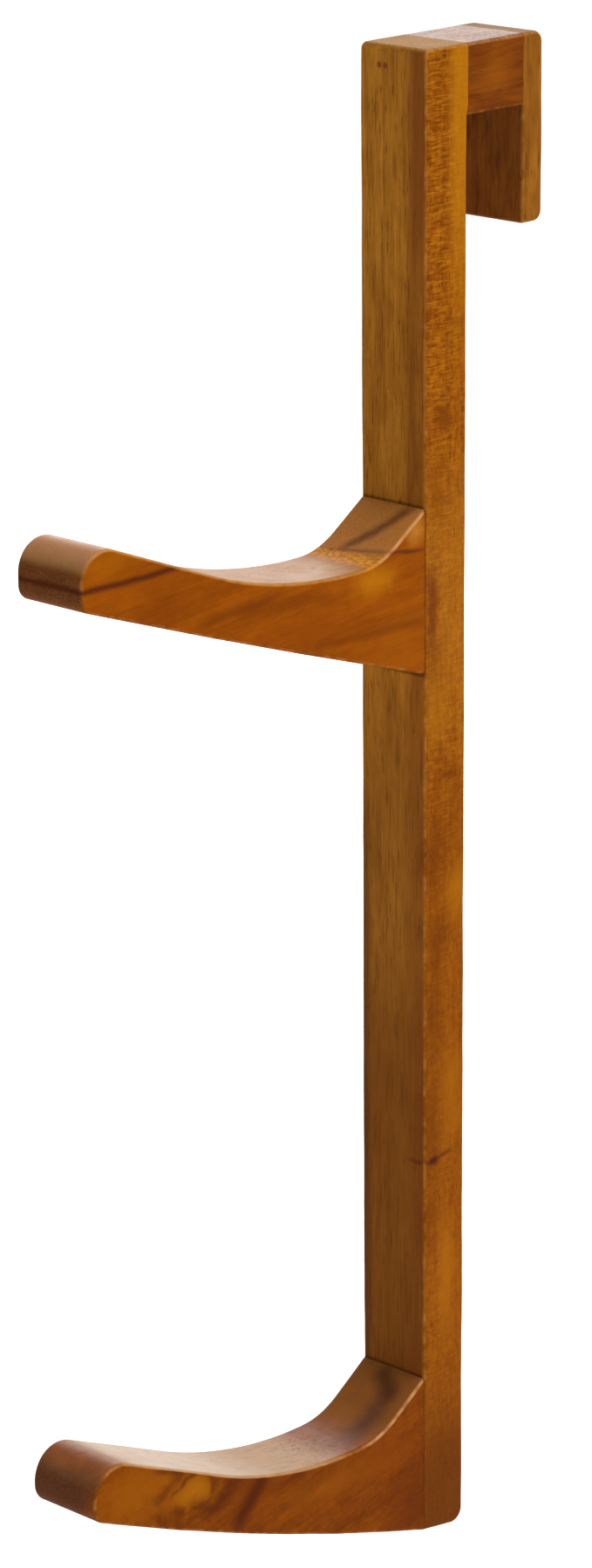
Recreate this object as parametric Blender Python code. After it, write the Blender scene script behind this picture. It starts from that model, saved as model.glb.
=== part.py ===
"""Wooden guitar hanger that hooks over a door, with two scooped pegs on its front.

Metres, +Z up. The origin is the middle of the bridge's underside, which sits on the door's top edge.
-Y is the front, where the pegs reach out, and X runs across the 38 mm width.
Each wooden piece is a side outline extruded across X, with its long edges rounded.
"""

import math

import bmesh
import bpy
from mathutils import Vector

# Driving dimensions
WIDTH = 0.038
POST_THICK = 0.027
DOOR_GAP = 0.036
BRIDGE_HEIGHT = 0.031
LIP_THICK = 0.0133
LIP_LENGTH = 0.0828
UPPER_ARM_Z = -0.1675
LOWER_ARM_Z = -0.576

# Rounding
EDGE_RADIUS = 0.002
SEAM_RADIUS = 0.0002
EDGE_STEPS = 3
OUTLINE_STEP = math.radians(15)
LONG_ARC_STEP = math.radians(1.6)
LONG_ARC = 0.1
POST_TOP_RADIUS = 0.003
FOOT_RADIUS = 0.0065
FOOT_SLOPE = 0.0045
LIP_TOP_RADIUS = 0.005
LIP_BOTTOM_RADIUS = 0.0045
SEAT_FADE = 0.0034  # more than a sharp corner's rounding takes from the side
NEARLY_STRAIGHT = 0.02  # the sine of a turn that is treated as none
SHARP_ANGLE = math.radians(35)

# Fasteners. Neighbouring pieces keep JOINT_GAP between their meshes.
JOINT_GAP = 0.0003
BORE_SIDES = 24
BORE_OVERRUN = 0.001
PLUG_CHAMFER = 0.0006
SCREW_SIDES = 12
ARM_SCREW_DROPS = (0.029, 0.052)
ARM_SCREW_LENGTH = 0.050
ARM_SCREW_RADIUS = 0.00225
ARM_PLUG_RADIUS = 0.0042
ARM_PLUG_DEPTH = 0.009
HOOK_SCREW_HEIGHTS = (0.0085, 0.0225)
HOOK_SCREW_LENGTH = 0.065
HOOK_SCREW_RADIUS = 0.0025
HOOK_PLUG_RADIUS = 0.0047
HOOK_PLUG_DEPTH = 0.005

POST_BACK = -DOOR_GAP / 2
POST_FRONT = POST_BACK - POST_THICK
LIP_FRONT = DOOR_GAP / 2


# Materials: base colour, roughness and metallic
LOOKS = {
    "post_wood": ((0.30, 0.13, 0.02), 0.42, 0.0),
    "bridge_wood": ((0.26, 0.09, 0.02), 0.45, 0.0),
    "lip_wood": ((0.40, 0.16, 0.03), 0.42, 0.0),
    "upper_arm_wood": ((0.38, 0.14, 0.01), 0.35, 0.0),
    "lower_arm_wood": ((0.30, 0.11, 0.01), 0.35, 0.0),
    "plug_wood": ((0.24, 0.09, 0.015), 0.5, 0.0),
    "zinc_plated_steel": ((0.62, 0.60, 0.55), 0.35, 1.0),
    "cutter": ((0.5, 0.5, 0.5), 0.5, 0.0),
}


def material(name):
    colour, roughness, metallic = LOOKS[name]
    made = bpy.data.materials.new(name)
    made.use_nodes = True
    shader = made.node_tree.nodes["Principled BSDF"]
    shader.inputs["Base Color"].default_value = (*colour, 1)
    shader.inputs["Roughness"].default_value = roughness
    shader.inputs["Metallic"].default_value = metallic
    return made


# Outlines: a corner is (y, z, fillet, edge before it, edge after it)


def corner(y, z, fillet=0.0, before=EDGE_RADIUS, after=EDGE_RADIUS):
    return Vector((y, z)), fillet, before, after


def seam_side(y, start, end):
    """A side that meets another piece: its long edges stay sharp between two rounded ends."""
    way = math.copysign(SEAT_FADE, end - start)
    return [
        corner(y, start, after=SEAM_RADIUS),
        corner(y, start + way, 0, SEAM_RADIUS, SEAM_RADIUS),
        corner(y, end - way, 0, SEAM_RADIUS, SEAM_RADIUS),
        corner(y, end, before=SEAM_RADIUS),
    ]


def seat(y, start, end):
    """A stretch of a longer side that another piece is butted on."""
    way = math.copysign(SEAT_FADE, end - start)
    return [
        corner(y, start),
        corner(y, start + way, 0, SEAM_RADIUS, SEAM_RADIUS),
        corner(y, end - way, 0, SEAM_RADIUS, SEAM_RADIUS),
        corner(y, end),
    ]


def filleted(corners):
    """The outline's points, with an arc at each corner that has a fillet."""
    points = []
    for index, (here, fillet, before, after) in enumerate(corners):
        back = (corners[index - 1][0] - here).normalized()
        ahead = (corners[(index + 1) % len(corners)][0] - here).normalized()
        if not fillet:
            points.append((here, before, after))
            continue
        opening = back.angle(ahead)
        turn = math.pi - opening
        middle = here + (back + ahead).normalized() * fillet / math.sin(opening / 2)
        first = here + back * fillet / math.tan(opening / 2) - middle
        step = LONG_ARC_STEP if fillet > LONG_ARC else OUTLINE_STEP
        count = max(2, round(turn / step))
        way = math.copysign(turn, first.x * (here - middle).y - first.y * (here - middle).x)
        for part in range(count + 1):
            angle = way * part / count
            turned = Vector(
                (
                    first.x * math.cos(angle) - first.y * math.sin(angle),
                    first.x * math.sin(angle) + first.y * math.cos(angle),
                )
            )
            points.append((middle + turned, before, after))
    return points


def inset(previous, point, following, shift_before, shift_after):
    """The point moved in by one distance from the side before it and by another from the side after it."""
    along = (point - previous).normalized()
    onward = (following - point).normalized()
    turn = along.x * onward.y - along.y * onward.x
    if abs(turn) < NEARLY_STRAIGHT:
        return point + Vector((-along.y, along.x)) * (shift_before + shift_after) / 2
    return point + (onward * shift_before - along * shift_after) / turn


def slab(name, corners, location, look):
    """A solid WIDTH across, whose outline is drawn in its side view, with rounded long edges."""
    outline = filleted(corners)
    angles = [math.pi / 2 * step / EDGE_STEPS for step in range(EDGE_STEPS + 1)]
    stations = [(1, angle) for angle in reversed(angles)] + [(-1, angle) for angle in angles]
    shape = bmesh.new()
    rings = []
    for side, angle in stations:
        ring = []
        for index, (point, before, after) in enumerate(outline):
            bulge = 1 - math.cos(angle)
            moved = inset(
                outline[index - 1][0],
                point,
                outline[(index + 1) % len(outline)][0],
                before * bulge,
                after * bulge,
            )
            across = WIDTH / 2 - max(before, after) * (1 - math.sin(angle))
            ring.append(shape.verts.new((side * across, moved.x, moved.y)))
        rings.append(ring)
    for upper, lower in zip(rings, rings[1:]):
        for index in range(len(outline)):
            shape.faces.new((upper[index - 1], upper[index], lower[index], lower[index - 1]))
    shape.faces.new(rings[0])
    shape.faces.new(reversed(rings[-1]))
    return finish(name, shape, location, look)


def finish(name, shape, location, look):
    bmesh.ops.recalc_face_normals(shape, faces=shape.faces)
    mesh = bpy.data.meshes.new(name)
    shape.to_mesh(mesh)
    shape.free()
    mesh.materials.append(look)
    mesh.shade_smooth()
    mesh.set_sharp_from_angle(angle=SHARP_ANGLE)
    return place(name, mesh, location)


def place(name, mesh, location):
    made = bpy.data.objects.new(name, mesh)
    made.location = location
    made.parent = bpy.data.objects["hanger"]
    bpy.context.scene.collection.objects.link(made)
    return made


# Wooden pieces


def post(look):
    """The upright: its foot is cut at a slight slope and rounded at the back."""
    upper = UPPER_ARM_Z - BRIDGE_HEIGHT
    lower = LOWER_ARM_Z - BRIDGE_HEIGHT
    foot = LOWER_ARM["heel"] - lower
    corners = [
        corner(0, 0, before=SEAM_RADIUS),
        corner(-POST_THICK, 0, POST_TOP_RADIUS),
        *seat(-POST_THICK, upper, upper - UPPER_ARM["heel"]),
        *seat(-POST_THICK, lower, -foot)[:3],
        corner(-POST_THICK, -foot, before=SEAM_RADIUS),
        corner(0, -foot - FOOT_SLOPE, FOOT_RADIUS),
        *seat(0, -BRIDGE_HEIGHT, 0)[:3],
    ]
    return slab("post", corners, (0, POST_BACK, BRIDGE_HEIGHT), look)


def bridge_block(look):
    end = DOOR_GAP / 2 - JOINT_GAP
    corners = seam_side(end, 0, BRIDGE_HEIGHT) + seam_side(-end, BRIDGE_HEIGHT, 0)
    return slab("bridge_block", corners, (0, 0, 0), look)


def rear_lip(look):
    corners = [
        corner(0, 0, after=SEAM_RADIUS),
        *seat(0, 0, -BRIDGE_HEIGHT)[1:],
        corner(0, -LIP_LENGTH),
        corner(LIP_THICK, -LIP_LENGTH, LIP_BOTTOM_RADIUS),
        corner(LIP_THICK, 0, LIP_TOP_RADIUS),
    ]
    return slab("rear_lip", corners, (0, LIP_FRONT, BRIDGE_HEIGHT), look)


# Each arm's outline starts at the top of its seam with the post and runs forward along its scooped top.
# facet and rise are the slopes of the steep end and of the run up to the tip.
# nose and chin are the end's radii, above and below.
# tip and heel are the heights of the underside's ends, and belly is how far it bulges between them.
UPPER_ARM = {
    "reach": 0.208,
    "dip": 0.0192,
    "facet": 0.66,
    "rise": 0.39,
    "nose": 0.014,
    "chin": 0.0065,
    "tip": -0.0035,
    "heel": 0.0740,
    "belly": 0.0008,
}
LOWER_ARM = {
    "reach": 0.211,
    "dip": 0.0198,
    "facet": 0.66,
    "rise": 0.44,
    "nose": 0.0145,
    "chin": 0.009,
    "tip": 0.0035,
    "heel": 0.0762,
    "belly": 0.0030,
}
RISE_FOOT = 0.0907
HOLLOW_RADIUS = 0.042
SCOOP_TANGENT = 0.047
BELLY_SHARE = 0.8  # of the underside's length, taken up by its arc


def arm(name, height, shape, look):
    """A peg: steep facet at the post, long scoop, rounded nose, and a slightly convex underside."""
    chin = Vector((-shape["reach"], shape["tip"]))
    heel = Vector((0, -shape["heel"]))
    chord = heel - chin
    belly = (chin + heel) / 2 + Vector((chord.y, -chord.x)).normalized() * 2 * shape["belly"]
    belly_radius = BELLY_SHARE * chord.length**2 / (8 * shape["belly"])
    crest = (shape["reach"] - RISE_FOOT) * shape["rise"] - shape["dip"]
    scoop_radius = SCOOP_TANGENT / math.tan(math.atan(shape["rise"]) / 2)
    corners = [
        corner(-shape["dip"] / shape["facet"], -shape["dip"], HOLLOW_RADIUS),
        corner(-RISE_FOOT, -shape["dip"], scoop_radius),
        corner(-shape["reach"], crest, shape["nose"]),
        corner(*chin, shape["chin"]),
        corner(*belly, belly_radius),
        *seam_side(0, -shape["heel"], 0),
    ]
    return slab(name, corners, (0, POST_FRONT - JOINT_GAP, height), look)


# Screws and plugs


def turned(rings):
    """A closed solid of revolution along +Y, from (distance, radius of each side) rows."""
    shape = bmesh.new()
    loops = []
    for distance, radii in rings:
        loop = []
        for side, radius in enumerate(radii):
            angle = 2 * math.pi * side / len(radii)
            spot = (radius * math.cos(angle), distance, radius * math.sin(angle))
            loop.append(shape.verts.new(spot))
        loops.append(loop)
    for near, far in zip(loops, loops[1:]):
        for side in range(len(near)):
            shape.faces.new((near[side - 1], near[side], far[side], far[side - 1]))
    shape.faces.new(loops[0])
    shape.faces.new(reversed(loops[-1]))
    return shape


def plain(rings, sides):
    return turned([(distance, [radius] * sides) for distance, radius in rings])


# The screw's proportions, in thread radii, except where a name says otherwise
HEAD_RADIUS = 1.8
HEAD_RIM = 0.0004
SHANK_RADIUS = 0.72
CORE_RADIUS = 0.64
THREADED = 0.62  # of the screw's length
PITCH = 1.05
ROWS_PER_TURN = 4
RIDGE_WIDTH = 0.3  # of the pitch, each side of the crest
POINT_LENGTH = 2.2
POINT_RADIUS = 0.12
RECESS_DEPTH = 1.1
RECESS_REACH = 1.05
RECESS_WIDTH = 0.32


def head_depth(radius):
    return HEAD_RIM + (HEAD_RADIUS - SHANK_RADIUS) * radius


def screw_mesh(name, length, radius, look):
    """A countersunk wood screw, head at its origin and point towards -Y, with a cross recess."""
    rows = [
        (0.0, [HEAD_RADIUS * radius] * SCREW_SIDES),
        (HEAD_RIM, [HEAD_RADIUS * radius] * SCREW_SIDES),
        (head_depth(radius), [SHANK_RADIUS * radius] * SCREW_SIDES),
    ]
    start = length * (1 - THREADED)
    point = length - POINT_LENGTH * radius
    pitch = PITCH * radius
    rows.append((start, [SHANK_RADIUS * radius] * SCREW_SIDES))
    count = int((length - start) / pitch * ROWS_PER_TURN)
    for row in range(1, count):
        distance = start + (length - start) * row / count
        taper = min(1, max(POINT_RADIUS, (length - distance) / (length - point)))
        fade = min(1, (distance - start) / pitch)
        radii = []
        for side in range(SCREW_SIDES):
            turn = (distance / pitch - side / SCREW_SIDES) % 1
            ridge = max(0, 1 - abs(turn - 0.5) / RIDGE_WIDTH)
            height = CORE_RADIUS + (1 - CORE_RADIUS) * ridge * fade
            radii.append(height * taper * radius)
        rows.append((distance, radii))
    rows.append((length, [POINT_RADIUS * radius] * SCREW_SIDES))
    shape = turned([(-distance, radii) for distance, radii in rows])
    body = finish(name + "_blank", shape, (0, 0, 0), look)
    cross = bmesh.new()
    for width, height in ((RECESS_WIDTH, 2 * RECESS_REACH), (2 * RECESS_REACH, RECESS_WIDTH)):
        corners = bmesh.ops.create_cube(cross, size=1)["verts"]
        size = Vector((width, 2 * RECESS_DEPTH, height)) * radius
        bmesh.ops.scale(cross, vec=size, verts=corners)
    cutter = helper(name + "_recess", cross, (0, 0, 0))
    subtract(body, cutter)
    bpy.context.view_layer.update()
    graph = bpy.context.evaluated_depsgraph_get()
    made = bpy.data.meshes.new_from_object(body.evaluated_get(graph))
    for scrap in (body, cutter):
        bpy.data.objects.remove(scrap)
    return made


def helper(name, shape, location):
    """A cutter: it is never rendered and isn't a piece."""
    made = finish(name, shape, location, bpy.data.materials["cutter"])
    made.hide_render = True
    made.display_type = "WIRE"
    return made


def subtract(target, cutter):
    change = target.modifiers.new("cut_" + cutter.name, "BOOLEAN")
    change.operation = "DIFFERENCE"
    change.object = cutter
    change.use_self = cutter.name.endswith("_recess")


def fastened(name, start, sizes, screw, look, pieces):
    """One screw driven towards -Y from start, the bore that it sits in, and the plug that hides its head."""
    length, radius, plug_radius, plug_depth = sizes
    bore_radius = plug_radius + JOINT_GAP
    clearance = radius + JOINT_GAP
    seat_depth = plug_depth + JOINT_GAP
    floor = seat_depth + HEAD_RIM
    cone = floor + bore_radius - clearance
    rings = [
        (BORE_OVERRUN, bore_radius),
        (-floor, bore_radius),
        (-cone, clearance),
        (-seat_depth - length - 2 * JOINT_GAP, clearance),
    ]
    bore = helper(name + "_bore", plain(rings, BORE_SIDES), start)
    for piece in pieces:
        subtract(piece, bore)
    place(name + "_screw", screw, (start[0], start[1] - seat_depth, start[2]))
    rings = [
        (0, plug_radius),
        (-plug_depth + PLUG_CHAMFER, plug_radius),
        (-plug_depth, plug_radius - PLUG_CHAMFER),
    ]
    finish(name + "_plug", plain(rings, BORE_SIDES), start, look)


def main():
    for old in list(bpy.data.objects):
        bpy.data.objects.remove(old, do_unlink=True)
    hanger = bpy.data.objects.new("hanger", None)
    bpy.context.scene.collection.objects.link(hanger)

    material("cutter")
    upright = post(material("post_wood"))
    bridge = bridge_block(material("bridge_wood"))
    lip = rear_lip(material("lip_wood"))
    upper = arm("upper_arm", UPPER_ARM_Z, UPPER_ARM, material("upper_arm_wood"))
    lower = arm("lower_arm", LOWER_ARM_Z, LOWER_ARM, material("lower_arm_wood"))

    steel = material("zinc_plated_steel")
    arm_screw = screw_mesh("arm_screw", ARM_SCREW_LENGTH, ARM_SCREW_RADIUS, steel)
    hook_screw = screw_mesh("hook_screw", HOOK_SCREW_LENGTH, HOOK_SCREW_RADIUS, steel)
    arm_sizes = (ARM_SCREW_LENGTH, ARM_SCREW_RADIUS, ARM_PLUG_RADIUS, ARM_PLUG_DEPTH)
    hook_sizes = (HOOK_SCREW_LENGTH, HOOK_SCREW_RADIUS, HOOK_PLUG_RADIUS, HOOK_PLUG_DEPTH)
    plug_wood = material("plug_wood")

    for side, height, piece in (("upper", UPPER_ARM_Z, upper), ("lower", LOWER_ARM_Z, lower)):
        for place_name, drop in zip(("top", "bottom"), ARM_SCREW_DROPS):
            start = (0, POST_BACK, height - drop)
            name = f"{side}_arm_{place_name}"
            fastened(name, start, arm_sizes, arm_screw, plug_wood, (upright, piece))
    for place_name, height in zip(("bottom", "top"), HOOK_SCREW_HEIGHTS):
        start = (0, LIP_FRONT + LIP_THICK, height)
        fastened(f"hook_{place_name}", start, hook_sizes, hook_screw, plug_wood, (lip, bridge, upright))


main()
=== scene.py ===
"""Looks for the over-door guitar hanger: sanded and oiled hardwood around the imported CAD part.

Metres in the part's own frame: +Z up, -Y to the front, X across the width.
Material sizes are in millimetres.
"""

import math

import bmesh
import bpy
from mathutils import Euler, Matrix, Vector, noise


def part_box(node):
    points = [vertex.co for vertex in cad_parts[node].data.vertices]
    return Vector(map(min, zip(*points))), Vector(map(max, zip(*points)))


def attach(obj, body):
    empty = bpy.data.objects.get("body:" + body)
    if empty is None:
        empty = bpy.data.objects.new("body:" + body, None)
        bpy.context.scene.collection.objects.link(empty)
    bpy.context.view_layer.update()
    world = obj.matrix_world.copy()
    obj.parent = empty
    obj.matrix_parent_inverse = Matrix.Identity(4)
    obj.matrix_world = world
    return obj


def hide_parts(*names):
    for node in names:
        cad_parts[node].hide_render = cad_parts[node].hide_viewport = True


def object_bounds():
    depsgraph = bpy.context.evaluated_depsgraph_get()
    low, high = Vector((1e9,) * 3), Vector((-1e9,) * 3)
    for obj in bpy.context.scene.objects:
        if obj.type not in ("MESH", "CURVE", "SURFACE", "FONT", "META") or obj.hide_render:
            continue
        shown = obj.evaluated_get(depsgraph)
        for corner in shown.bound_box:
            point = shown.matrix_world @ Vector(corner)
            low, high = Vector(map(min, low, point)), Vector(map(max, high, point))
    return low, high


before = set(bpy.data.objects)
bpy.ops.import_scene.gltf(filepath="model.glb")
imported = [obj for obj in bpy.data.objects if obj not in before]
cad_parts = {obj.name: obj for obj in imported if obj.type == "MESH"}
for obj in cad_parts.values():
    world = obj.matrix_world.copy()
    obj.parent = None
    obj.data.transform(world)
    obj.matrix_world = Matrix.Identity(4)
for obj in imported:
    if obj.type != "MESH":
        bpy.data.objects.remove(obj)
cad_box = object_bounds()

# Sizes read from the CAD nodes' boxes

POST_LOW, POST_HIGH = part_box("post")
LIP_LOW, LIP_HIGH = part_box("rear_lip")
HALF_WIDTH = POST_HIGH.x
FRONT, BACK, TOP = POST_LOW.y, POST_HIGH.y, POST_HIGH.z


# The gap between butted boards, the radii of free edges and of edges at a seam,
# and the length over which one passes into the other

HAIRLINE = 0.00004
EDGE = 0.002
SEAM_EDGE = 0.00025
SEAT_FADE = 0.0045


# How finely outlines and edges are divided

EDGE_STEPS = 7
STRAIGHT_STEP = 0.006
ARC_STEP = math.radians(5)
LONG_ARC_STEP = math.radians(1.2)
LONG_ARC = 0.1


# The sine of a turn below which an outline is inset as if straight: always, and where the
# edge radius stays the same, and the difference that counts as the same

NEARLY_STRAIGHT = 0.12
SLIGHT_BEND = 0.3
NO_CHANGE = 1e-9


# Hand sanding: slow and quick waves per metre, and their share of the edge radius

SLOW_WAVES, SLOW_SHARE = 22, 0.30
QUICK_WAVES, QUICK_SHARE = 90, 0.12


# Shading: the angle that stays sharp, and how strongly large faces pull the normals

SHARP_ANGLE = math.radians(32)
FACE_WEIGHT = 80


# Outlines: a corner is (point, fillet, edge radius before it, edge radius after it)


def corner(y, z, fillet=0.0, before=EDGE, after=EDGE):
    return Vector((y, z)), fillet, before, after


def seat(y, start, end, ends=EDGE):
    """A stretch of a side that another piece is butted on. The radius is ends where it stops."""
    way = math.copysign(SEAT_FADE, end - start)
    return [
        corner(y, start, after=ends),
        corner(y, start + way, 0, SEAM_EDGE, SEAM_EDGE),
        corner(y, end - way, 0, SEAM_EDGE, SEAM_EDGE),
        corner(y, end, before=ends),
    ]


def seam_side(y, start, end):
    """A whole side that meets another piece, with sharp edges from end to end."""
    return seat(y, start, end, SEAM_EDGE)


def arc_points(here, back, ahead, fillet):
    """The points of the arc that rounds a corner between the directions back and ahead."""
    opening = back.angle(ahead)
    turn = math.pi - opening
    middle = here + (back + ahead).normalized() * fillet / math.sin(opening / 2)
    first = here + back * fillet / math.tan(opening / 2) - middle
    side = first.x * (here - middle).y - first.y * (here - middle).x
    step = LONG_ARC_STEP if fillet > LONG_ARC else ARC_STEP
    count = max(3, round(turn / step))
    points = []
    for part in range(count + 1):
        angle = math.copysign(turn, side) * part / count
        points.append(middle + Matrix.Rotation(angle, 2) @ first)
    return points


def outline_points(corners):
    """The outline with its fillets, and with extra points along its straight stretches."""
    bent = []
    for index, (here, fillet, before, after) in enumerate(corners):
        if not fillet:
            bent.append((here, before, after))
            continue
        back = (corners[index - 1][0] - here).normalized()
        ahead = (corners[(index + 1) % len(corners)][0] - here).normalized()
        for point in arc_points(here, back, ahead, fillet):
            bent.append((point, before, after))
    points = []
    for index, (point, before, after) in enumerate(bent):
        points.append((point, before, after))
        onward, next_before, _ = bent[(index + 1) % len(bent)]
        count = int((onward - point).length / STRAIGHT_STEP)
        for part in range(1, count + 1):
            share = part / (count + 1)
            edge = after + (next_before - after) * share
            points.append((point.lerp(onward, share), edge, edge))
    return points


def inset(previous, point, following, shift_before, shift_after):
    """The point moved inwards by one distance from the side before it, by another from the next."""
    along = (point - previous).normalized()
    onward = (following - point).normalized()
    turn = along.x * onward.y - along.y * onward.x
    same = abs(shift_before - shift_after) < NO_CHANGE
    if abs(turn) < NEARLY_STRAIGHT or same and abs(turn) < SLIGHT_BEND:
        normal = (Vector((-along.y, along.x)) + Vector((-onward.y, onward.x))).normalized()
        return point + normal * (shift_before + shift_after) / 2
    return point + (onward * shift_before - along * shift_after) / turn


def sanded(edge, point, seed):
    """An edge radius that varies along the edge, as hand sanding leaves it."""
    if edge < EDGE / 2:
        return edge
    slow = noise.noise(Vector((point.x * SLOW_WAVES, point.y * SLOW_WAVES, seed)))
    quick = noise.noise(Vector((point.x * QUICK_WAVES, point.y * QUICK_WAVES, seed + 5)))
    return edge * (1 + SLOW_SHARE * slow + QUICK_SHARE * quick)


def slab(corners, location, seed):
    """A closed shape across the full width, drawn as a side outline, with rounded long edges."""
    outline = [
        (point, sanded(before, point, seed), sanded(after, point, seed))
        for point, before, after in outline_points(corners)
    ]
    angles = [math.pi / 2 * step / EDGE_STEPS for step in range(EDGE_STEPS + 1)]
    stations = [(1, angle) for angle in reversed(angles)] + [(-1, angle) for angle in angles]
    shape = bmesh.new()
    rings = []
    for side, angle in stations:
        bulge = 1 - math.cos(angle)
        ring = []
        for index, (point, before, after) in enumerate(outline):
            previous = outline[index - 1][0]
            following = outline[(index + 1) % len(outline)][0]
            moved = inset(previous, point, following, before * bulge, after * bulge)
            across = HALF_WIDTH - max(before, after) * (1 - math.sin(angle))
            ring.append(shape.verts.new((side * across, moved.x, moved.y)))
        rings.append(ring)
    for upper, lower in zip(rings, rings[1:]):
        for index in range(len(outline)):
            shape.faces.new((upper[index - 1], upper[index], lower[index], lower[index - 1]))
    shape.faces.new(rings[0])
    shape.faces.new(reversed(rings[-1]))
    bmesh.ops.translate(shape, vec=location, verts=shape.verts)
    bmesh.ops.recalc_face_normals(shape, faces=shape.faces)
    return shape


def turned(rings, sides, start):
    """A solid turned about -Y from start. A ring is a depth with one radius, or one a side."""
    shape = bmesh.new()
    loops = []
    for depth, radius in rings:
        loop = []
        for side in range(sides):
            reach = radius[side] if isinstance(radius, list) else radius
            angle = 2 * math.pi * side / sides
            spot = Vector((reach * math.cos(angle), -depth, reach * math.sin(angle)))
            loop.append(shape.verts.new(start + spot))
        loops.append(loop)
    for near, far in zip(loops, loops[1:]):
        for side in range(sides):
            shape.faces.new((near[side - 1], near[side], far[side], far[side - 1]))
    shape.faces.new(loops[0])
    shape.faces.new(reversed(loops[-1]))
    bmesh.ops.recalc_face_normals(shape, faces=shape.faces)
    return shape


def make_object(name, shape, look=None):
    mesh = bpy.data.meshes.new(name)
    shape.to_mesh(mesh)
    shape.free()
    made = bpy.data.objects.new(name, mesh)
    bpy.context.scene.collection.objects.link(made)
    if look is not None:
        mesh.materials.append(look)
    return made


def carve(piece, cutters, use_self=False):
    """Cuts the cutters out of a piece, for good. use_self is for cutters whose parts cross."""
    for cutter in cutters:
        change = piece.modifiers.new("bore", "BOOLEAN")
        change.operation = "DIFFERENCE"
        change.use_self = use_self
        change.object = cutter
    bpy.context.view_layer.update()
    graph = bpy.context.evaluated_depsgraph_get()
    carved = bpy.data.meshes.new_from_object(piece.evaluated_get(graph))
    piece.modifiers.clear()
    piece.data = carved
    return piece


def settle(piece, node):
    """Smooth shading, and the piece takes its CAD node's place on the part."""
    piece.data.shade_smooth()
    piece.data.set_sharp_from_angle(angle=SHARP_ANGLE)
    weighted = piece.modifiers.new("flat_faces_stay_flat", "WEIGHTED_NORMAL")
    weighted.keep_sharp = True
    weighted.weight = FACE_WEIGHT
    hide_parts(node)
    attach(piece, "root")
    return piece


# Materials: colours used on more than one board

# Rubbed edges: partly worn wood, partly painted highlight
RUBBED_AND_HIGHLIGHT = (0.56, 0.235, 0.055)
# Bare arrises: partly worn wood, partly painted highlight
BARE_AND_HIGHLIGHT = (0.66, 0.36, 0.17)
# Seam hairlines, and a painted contact shadow under the upper arm
SEAM_AND_SHADOW_DARK = (0.035, 0.010, 0.003)
PORE_DARK = (0.060, 0.016, 0.002)
MAROON = (0.06, 0.010, 0.004)


# Oil: its specular level where it is thin and what it gains where it lies wet, its tint,
# what is left of it on end grain and on matt places, and the depth of the relief in metres

THIN_FILM = 0.018
WET_FILM = 0.20
OIL_TINT = (1.0, 0.55, 0.20, 1)
END_GRAIN_SHARE = 0.20
MATT_SHARE = 0.25
RELIEF = 0.00012


# Places on the object in millimetres: the near side's X, and the top and foot of each arm's seam

MM_PER_METRE = 1000.0
SIDE = 19
UPPER_SEAM = (-168.0, -242.0)
LOWER_SEAM = (-577.0, -652.0)


class Tree:
    """A material's node tree, with a short call for each kind of node used here."""

    def __init__(self, name):
        self.material = bpy.data.materials.new(name)
        self.material.use_nodes = True
        self.nodes = self.material.node_tree.nodes
        self.links = self.material.node_tree.links
        self.shader = self.nodes["Principled BSDF"]

    def put(self, socket, value):
        if isinstance(value, bpy.types.NodeSocket):
            self.links.new(value, socket)
        elif value is not None:
            socket.default_value = value

    def add(self, kind, inputs=(), output=0, **settings):
        made = self.nodes.new("ShaderNode" + kind)
        for key, value in settings.items():
            setattr(made, key, value)
        for key, value in dict(inputs).items():
            self.put(made.inputs[key], value)
        return made.outputs[output]

    def math(self, operation, first, second=None, third=None):
        return self.add("Math", {0: first, 1: second, 2: third}, operation=operation)

    def times(self, first, second):
        return self.math("MULTIPLY", first, second)

    def apart(self, first, second):
        """How far one value is from another."""
        return self.math("ABSOLUTE", self.math("SUBTRACT", first, second))

    def distance(self, first, second):
        square = self.times(second, second)
        return self.math("SQRT", self.math("MULTIPLY_ADD", first, first, square))

    def step(self, value, low, high):
        """0 below low, 1 above high, smooth between. low may be above high."""
        return self.add(
            "MapRange",
            {"Value": value, "From Min": low, "From Max": high, "To Min": 0.0, "To Max": 1.0},
            interpolation_type="SMOOTHSTEP",
        )

    def spread(self, value, low, high):
        """Maps 0..1 to low..high."""
        return self.add("MapRange", {"Value": value, "To Min": low, "To Max": high})

    def mix(self, share, first, second, blend="MIX"):
        made = self.nodes.new("ShaderNodeMix")
        made.data_type = "RGBA"
        made.blend_type = blend
        self.put(made.inputs[0], share)
        self.put(made.inputs[6], first if not isinstance(first, tuple) else (*first, 1))
        self.put(made.inputs[7], second if not isinstance(second, tuple) else (*second, 1))
        return made.outputs[2]

    def scaled(self, vector, sizes, shift):
        """The vector with each part divided by a size in millimetres, then shifted."""
        scale = tuple(1 / size for size in sizes)
        return self.add("Mapping", {"Vector": vector, "Scale": scale, "Location": shift})

    def noise(self, vector, sizes, shift, detail=2.0, roughness=0.5, distortion=0.0):
        """Noise whose features are about as big as the three sizes, in millimetres."""
        inputs = {
            "Vector": self.scaled(vector, sizes, shift),
            "Scale": 1.0,
            "Detail": detail,
            "Roughness": roughness,
            "Distortion": distortion,
        }
        return self.add("TexNoise", inputs)

    def parts(self, vector):
        made = self.nodes.new("ShaderNodeSeparateXYZ")
        self.put(made.inputs[0], vector)
        return made.outputs

    def streak(self, y, z, start, end, width, fade):
        """1 on the line from start to end in the side view, fading off it and past its ends."""
        run = Vector(end) - Vector(start)
        length = run.length
        along = run / length
        dy = self.math("SUBTRACT", y, start[0])
        dz = self.math("SUBTRACT", z, start[1])
        forward = self.math("MULTIPLY_ADD", dy, along.x, self.times(dz, along.y))
        aside = self.math("MULTIPLY_ADD", dy, -along.y, self.times(dz, along.x))
        line = self.step(self.math("ABSOLUTE", aside), width, 0.0)
        entry = self.step(forward, -fade, fade)
        leaving = self.step(forward, length + fade, length - fade)
        return self.times(line, self.times(entry, leaving))


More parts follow.
